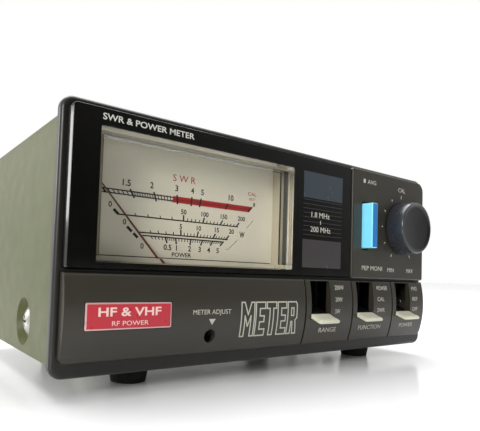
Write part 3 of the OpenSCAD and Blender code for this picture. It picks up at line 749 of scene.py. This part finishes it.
# Outlines of the large capitals in a unit square, each with its counters
GLYPHS = {
    "E": [[(0, 0), (1, 0), (1, .19), (.42, .19), (.42, .41), (.88, .41), (.88, .59), (.42, .59), (.42, .81),
           (1, .81), (1, 1), (0, 1)]],
    "T": [[(.31, 0), (.69, 0), (.69, .81), (1, .81), (1, 1), (0, 1), (0, .81), (.31, .81)]],
    "M": [[(0, 0), (.27, 0), (.27, .6), (.5, .3), (.73, .6), (.73, 0), (1, 0), (1, 1), (.76, 1), (.5, .64),
           (.24, 1), (0, 1)]],
    "R": [[(0, 0), (.38, 0), (.38, .38), (.5, .38), (.64, 0), (1, 0), (.82, .42), (1, .5), (1, .92), (.9, 1),
           (0, 1)], [(.38, .57), (.64, .57), (.64, .81), (.38, .81)]],
}


def outlined_word():
    left, bottom, height, gap = -21.8, 7.6, 9.6, 0.6
    ink = Ink("fascia_outline_word", "white_ink", fascia_y)
    for letter, width in zip("METER", (4.8, 3.6, 3.8, 3.6, 3.9)):
        for ring in GLYPHS[letter]:
            ink.outline([(left + a * width, bottom + b * height) for a, b in ring], 0.38)
        left += width + gap
    ink.done()


def badge():
    """Silver-edged plate with a red field and pale lettering."""
    low, high = span("badge")
    x, z, face = (low[0], high[0]), (low[2], high[2]), low[1]
    edge = 0.34
    shape = slab(x, z, 0.35, rounding(0.15, face, 3) + [(0, high[1])], 4)
    make("badge_plate", shape, "badge_rim", replaces=["badge"])
    ink = Ink("badge_field", "badge", flat(face), 0.012)
    ink.poly(rounded_rect((x[0] + edge, x[1] - edge), (z[0] + edge, z[1] - edge), 0.2, 4))
    ink.done()
    ink = Ink("badge_print", "pale_ink", flat(face), 0.03)
    ink.text("HF & VHF", sum(x) / 2, 15.4, 2.0, 16.5, 0.02)
    ink.text("RF POWER", sum(x) / 2, 12.7, 1.1, 9.6)
    ink.done()


plate_print()
pad_print()
fascia_print()
outlined_word()
badge()

# ---- meter --------------------------------------------------------------------------------------


def ray(x, z, length):
    """Vector of a length from a point straight away from the needle's axis."""
    d = Vector((x - AXIS_X, z - AXIS_Z)).normalized() * length
    return d.x, d.y


def across(ink, x, z, length, width):
    """Mark centred on a scale line."""
    dx, dz = ray(x, z, length / 2)
    ink.bar(x - dx, z - dz, x + dx, z + dz, width)


def outward(ink, x, z, length, width):
    """Mark from a scale line away from the needle's axis, or towards it if the length is negative."""
    dx, dz = ray(x, z, length)
    ink.bar(x, z, x + dx, z + dz, width)


def swr_scale(black, red):
    """Double line on the left, red band on the right, marks across both."""
    z = 45.3
    start, band, band_end, line_gap, band_half = -61.0, -39.1, -11.0, 0.5, 0.9
    for side in (1, -1):
        black.bar(start, z + side * line_gap, band, z + side * line_gap, 0.32)
    marks = ((-59.8, 1.6), (-51.9, 2.6), (-45.0, 2.6), (-37.9, 2.6), (-33.1, 2.6), (-30.0, 2.6), (-20.3, 2.2),
             (-11.2, 2.0))
    for x, length in marks:
        across(black, x, z, length, 0.5)
    for a, b, steps in ((-59.8, -51.9, 6), (-51.9, -45.0, 9), (-45, band, 6)):
        for x in spaced(a, b, steps)[1:-1]:
            across(black, x, z, 1.7, 0.25)
    red.poly([(-39.2, z + band_half), (-39.6, z - band_half), (-11.4, z - band_half), (-9.8, z + band_half)])
    black.bar(band, z, band_end, z, 0.14)
    figures = ((-51.9, "1.5"), (-45, "2"), (-37.9, "3"), (-33.1, "4"), (-30, "5"), (-20.3, "10"))
    for x, words in figures:
        dx, dz = ray(x, z, 3.2)
        black.text(words, x + dx, z + dz, 1.65, None if len(words) > 1 else 1.0, 0.02)
    black.text("8", -9.4, 47.0, 1.2, None, 0.02)


def power_scale(ink, z, ends, figures, side):
    """Line with figures on one side and four short marks between two long ones."""
    ink.bar(ends[0], z, ends[1], z, 0.36)
    # Each long mark stands where the ray through its figure crosses the line
    reach = (z - AXIS_Z) / (z + 2.2 * side - AXIS_Z)
    marks = [AXIS_X + (x - AXIS_X) * reach for x, _ in figures]
    offset, height = (2.6, 1.35) if side > 0 else (-2.7, 1.5)
    for (figure_x, words), x in zip(figures, marks):
        outward(ink, x, z, 1.7 * side, 0.46)
        ink.text(words, figure_x, z + offset, height, None, 0.02)
    stops = [ends[0] + 1.5] + marks
    for a, b in zip(stops, stops[1:]):
        for x in spaced(a, b, 5)[1:-1]:
            outward(ink, x, z, 0.9 * side, 0.25)


def dial_print():
    black = Ink("scale_print_black", "black_ink", flat(DIAL_Y), 0.025)
    red = Ink("scale_print_red", "red_ink", flat(DIAL_Y), 0.02)
    swr_scale(black, red)
    power_scale(black, 39.5, (-55.6, -15.7),
                ((-35.6, "50"), (-28.2, "100"), (-21.2, "150"), (-14.4, "200")), 1)
    power_scale(black, 35.3, (-49.6, -19.5),
                ((-36.4, "5"), (-30.2, "10"), (-23.7, "15"), (-18.2, "20")), 1)
    power_scale(black, 34.5, (-48.4, -21.0),
                ((-40.5, "0.5"), (-37.6, "1"), (-33.2, "2"), (-29.7, "3"), (-26.5, "4"), (-23.2, "5")), -1)
    for x, z in ((-58.0, 41.9), (-53.8, 37.7), (-48.4, 31.7)):
        black.text("0", x, z, 1.4, None, 0.02)
    # Bold dashes at the start of the power scales
    for line in ((-57.0, 40.7, -55.6, 39.5), (-53.0, 36.5, -51.6, 35.3), (-51.1, 34.9, -49.8, 33.8)):
        black.bar(*line, 0.75)
    # Dark line across the foot of the dial: painted shadow of the gap at its lower edge.
    black.bar(-64.6, 28.75, -1.9, 28.75, 0.26)
    black.text("POWER", -35.8, 29.9, 1.15, 6.4, 0.015)
    # Unit, with hair lines to the ends of the power scales
    black.text("W", -14.0, 37.2, 1.7, 2.0, 0.02)
    for line in ((-9.6, 42.0, -12.2, 39.4), (-15.8, 35.4, -19.2, 32.4), (-19.2, 32.4, -20.4, 32.4)):
        black.bar(*line, 0.12)
    red.text("S W R", -35.7, 51.4, 1.9, 7.6)
    red.text("CAL", -10.3, 50.2, 1.1, 3.6)
    red.text("SET", -10.3, 48.6, 0.8, 2.6)
    black.done()
    red.done()


def needle():
    """Tapered blade with a turned hub and a counterweight, at its angle of rest."""
    low, high = span("pointer")
    tip_x, tip_z, tail = low[0] + 0.25 - AXIS_X, high[2] - AXIS_Z, -6.0
    rest = math.atan2(tip_x, tip_z)
    length = math.hypot(tip_x, tip_z)

    def swing(u, v):
        """Point v along the needle and u across it."""
        return (AXIS_X + u * math.cos(rest) + v * math.sin(rest),
                AXIS_Z - u * math.sin(rest) + v * math.cos(rest))

    bm = bmesh.new()
    for start, end, half_start, half_end in ((tail, 0.0, 0.5, 0.55), (0.0, length - 0.15, 0.32, 0.14)):
        loops = []
        for inset, y in ((0.08, 6.45), (0, 6.52), (0, 6.78), (0.08, 6.85)):
            a, b = half_start - inset, half_end - inset
            corners = (swing(-a, start), swing(a, start), swing(b, end), swing(-b, end))
            loops.append([at(x, y, z) for x, z in corners])
        stack(loops, bm)
    turned([(1.2, 6.1), (1.7, 6.25), (1.7, 7.05), (1.2, 7.2)], (AXIS_X, AXIS_Z), 32, bm)
    turned([(0.8, 6.2), (1.1, 6.35), (1.1, 6.95), (0.8, 7.1)], swing(0, tail), 24, bm)
    make("needle", bm, "pointer", "needle", replaces=["pointer"])


dial_print()
needle()

# ---- controls -----------------------------------------------------------------------------------


def cal_knob():
    """Tapered knob with a raised lip round a dished face."""
    low, high = span("cal_knob")
    face, back, r = low[1], high[1], (high[0] - low[0]) / 2
    side = [(6.9, back), (r - 0.25, back), (r - 0.05, back - 0.3), (r - 0.6, face + 0.9),
            (r - 0.68, face + 0.5)]
    lip = [(r - 0.8, face + 0.2), (r - 0.95, face + 0.03), (r - 1.1, face), (r - 1.22, face + 0.04),
           (r - 1.32, face + 0.2), (r - 1.5, face + 0.38)]
    dish = [(r - 2.6, face + 0.5), (4.0, face + 0.72), (1.5, face + 0.82), (0.3, face + 0.84)]
    shape = turned(side + lip + dish, (KNOB_X, KNOB_Z), 96)
    knob = make("knob_cap", shape, "knob", "knob", replaces=["cal_knob"], sharp=50)
    centre, inside_lip = at(KNOB_X, face, KNOB_Z), (r - 1.25) * 0.001
    second_look(knob, "knob_face",
                lambda part: part.normal.y < -0.6 and (part.center - centre).length < inside_lip)


def moni_button():
    """Narrow cap with a stem to its switch; its front face is a deeper blue copy of the cap's colour, painted
    shade.
    """
    low, high = span("moni_button")
    profile = rounding(0.45, low[1], 5) + [(0, 4.1), (0.3, 4.5)]
    shape = slab((low[0], high[0]), (low[2], high[2]), 0.45, profile, 6)
    button = make("button_cap", shape, "button", "button", replaces=["moni_button"])
    stem = box(about(BUTTON_X, 2.6), (4.3, high[1]), about(BUTTON_Z, 4))
    boolean(button, stem, "UNION")
    bevel(button, 0.12, 45, 2)
    # Front-facing faces take the deeper blue copy: painted shade.
    second_look(button, "button_face", lambda part: part.normal.y < -0.8)


def lever_point(x, v, w):
    """Point v from the pivot towards the lever's tip and w above its middle plane."""
    return at(x, PIVOT_Y - v * math.cos(LEVER_REST) - w * math.sin(LEVER_REST),
              PIVOT_Z - v * math.sin(LEVER_REST) + w * math.cos(LEVER_REST))


def lever_cap(name, x, body, node):
    """Ivory cap: blunt tip, and a shallow hollow on top for the finger."""
    below = [(CAP_START, -CAP_HALF), (CAP_TIP - 1.6, -CAP_HALF), (CAP_TIP - 0.6, -0.6),
             (CAP_TIP - 0.15, -0.4)]
    tip = [(CAP_TIP, 0.0), (CAP_TIP - 0.1, 0.4), (CAP_TIP - 0.4, 0.6), (CAP_TIP - 1.2, CAP_HALF)]
    hollow = [(CAP_TIP - 1.9, 0.56), (CAP_TIP - 2.7, 0.52), (CAP_TIP - 3.5, 0.56)]
    side = below + tip + hollow + [(CAP_TIP - 4.2, CAP_HALF), (CAP_START, CAP_HALF)]
    # The ends are rounded: distance in from each end of the width, and inset of the outline there
    ends = ((0.0, 0.22), (0.08, 0.06), (0.25, 0.0))
    left, right = about(x, LEVER_WIDTH)
    sections = [(left + d, inset) for d, inset in ends] + [(right - d, inset) for d, inset in reversed(ends)]
    loops = [[lever_point(q, min(v, CAP_TIP - inset), w * (1 - inset)) for v, w in side]
             for q, inset in sections]
    make(name, stack(loops), "ivory", body, replaces=[node])


def lever_arm(name, x, body):
    """Dark arm that carries the cap on the switch's pin."""
    width, half, end, boss_radius, pin_radius = 8.3, 0.5, CAP_START + 0.7, 2.6, 1.05
    side = ((0, -half), (end, -half), (end, half), (0, half))
    bar = stack([[lever_point(q, v, w) for v, w in side] for q in about(x, width)])
    arm = make(name, bar, "black", body)
    boolean(arm, rod(boss_radius, about(x, LEVER_WIDTH), 40), "UNION")
    boolean(arm, rod(pin_radius, about(x, 12), 24))
    shade(arm, 40)


cal_knob()
moni_button()
for switch, switch_x in zip(("range", "function", "power"), SWITCH_X):
    lever_cap(switch + "_paddle_cap", switch_x, switch + "_paddle", switch + "_lever")
    lever_arm(switch + "_paddle_arm", switch_x, switch + "_paddle")

# ---- coaxial sockets ----------------------------------------------------------------------------


def threaded_barrel(centre, panel_y, start, end):
    """Barrel with a helical thread that fades out at both ends."""
    n, rows = 72, int((end - start) / (THREAD_PITCH / 8))
    root = THREAD_RADIUS - THREAD_DEPTH
    loops = [circle(centre, 7.2, panel_y + 1, n)]
    for j, y in enumerate(spaced(start, end, rows)):
        fade = min(1.0, j / 8, (rows - j) / 5)
        loop = []
        for k in range(n):
            a = 2 * math.pi * k / n
            phase = ((y - panel_y) / THREAD_PITCH - k / n) % 1.0
            tooth = min(1.0, max(0.0, (1 - abs(2 * phase - 1)) * 1.5 - 0.25))
            r = root + THREAD_DEPTH * tooth * fade
            loop.append(at(centre[0] + r * math.cos(a), y, centre[1] + r * math.sin(a)))
        loops.append(loop)
    loops.append(circle(centre, 7.0, end + 0.5, n))
    return stack(loops)


def socket(name, flange, barrel):
    """Square flange with its threaded barrel, in place of the two CAD nodes."""
    x, _, z = middle(flange)
    centre = (x, z)
    panel_y, end = span(flange)[0][1] + 2.6, span(barrel)[1][1]
    profile = [(0, panel_y)] + back_rounding(0.25, panel_y + 2, 3)
    shape = slab(about(x, FLANGE_WIDTH), about(z, FLANGE_WIDTH), 1.2, profile, 6)
    ob = make(name, shape, "nickel", replaces=[flange, barrel])
    for screw_x in about(x, SCREW_PITCH):
        for screw_z in about(z, SCREW_PITCH):
            boolean(ob, hole(SCREW_HOLE_RADIUS, (panel_y - 1, panel_y + 3), (screw_x, screw_z), 24))
    spigot = turned([(6.4, panel_y - 2.6), (6.4, panel_y + 0.5)], centre, 48)
    boolean(ob, spigot, "UNION")
    boolean(ob, threaded_barrel(centre, panel_y, panel_y + 2.6, end - 0.5), "UNION")
    # Space for the plug, with a flared mouth, and the seat of the insulator
    boolean(ob, turned([(6.0, panel_y + 4), (6.0, end - 0.3), (6.3, end + 0.1), (6.3, end + 2)], centre, 64))
    boolean(ob, hole(5.0, (panel_y - 4, panel_y + 6), centre, 64))
    shade(ob, 38)


socket("tx_socket_shell", "tx_flange", "tx_barrel")
socket("ant_socket_shell", "ant_flange", "ant_barrel")

for look, names in CAD_LOOKS.items():
    for node_name in names:
        materials = NODES[node_name].data.materials
        materials.clear()
        materials.append(LOOKS[look])
NODES["meter_cover"].visible_shadow = False

# ---- table and light ----------------------------------------------------------------------------


def table():
    half, thick = 6.0, 0.02
    corners = ((-half, -half), (half, -half), (half, half), (-half, half))
    ob = mesh_object("table_top", stack([[Vector((x, y, z)) for x, y in corners] for z in (-thick, 0.0)]))
    ob.data.materials.append(table_surface())


def studio():
    """Pale surroundings, dark in front of the object; the backdrop itself shows white."""
    world = bpy.data.worlds.new("studio")
    bpy.context.scene.world = world
    world.use_nodes = True
    tree = world.node_tree
    back = tree.nodes["Background"]
    coords = tree.nodes.new("ShaderNodeTexCoord")
    bright_side = tree.nodes.new("ShaderNodeVectorMath")
    bright_side.operation = "DOT_PRODUCT"
    bright_side.inputs[1].default_value = Vector((0.12, 0.76, 0.62)).normalized()
    tree.links.new(coords.outputs["Generated"], bright_side.inputs[0])
    fade = tree.nodes.new("ShaderNodeMapRange")
    fade.interpolation_type = "SMOOTHSTEP"
    for key, value in (("From Min", -0.62), ("From Max", 0.42), ("To Min", 0.01), ("To Max", 1.0)):
        fade.inputs[key].default_value = value
    tree.links.new(bright_side.outputs["Value"], fade.inputs["Value"])
    path = tree.nodes.new("ShaderNodeLightPath")
    strength = tree.nodes.new("ShaderNodeMath")
    strength.operation = "MAXIMUM"
    tree.links.new(fade.outputs["Result"], strength.inputs[0])
    tree.links.new(path.outputs["Is Camera Ray"], strength.inputs[1])
    tree.links.new(strength.outputs["Value"], back.inputs["Strength"])
    back.inputs["Color"].default_value = (1.0, 1.0, 1.0, 1)


def area(name, place, target, size, power, colour=(1, 1, 1)):
    """Rectangular light that faces a target."""
    lamp = bpy.data.lights.new(name, "AREA")
    lamp.shape = "RECTANGLE"
    lamp.size, lamp.size_y = size
    lamp.energy = power
    lamp.color = colour
    ob = bpy.data.objects.new(name, lamp)
    bpy.context.scene.collection.objects.link(ob)
    ob.location = place
    ob.rotation_euler = (Vector(target) - Vector(place)).to_track_quat("-Z", "Y").to_euler()


table()
studio()
area("window_light", (-0.86, 0.90, 0.31), (-0.07, -0.04, 0.05), (0.4, 0.3), 3, (1.0, 1.0, 0.98))
area("top_light", (0.1, 0.3, 1.0), (0, 0, 0), (1.0, 0.8), 13)
area("front_fill", (-1.15, -0.58, 0.42), (-0.02, -0.04, 0.03), (0.4, 0.4), 10, (1.0, 0.98, 0.94))
bpy.context.scene.view_settings.view_transform = "Standard"
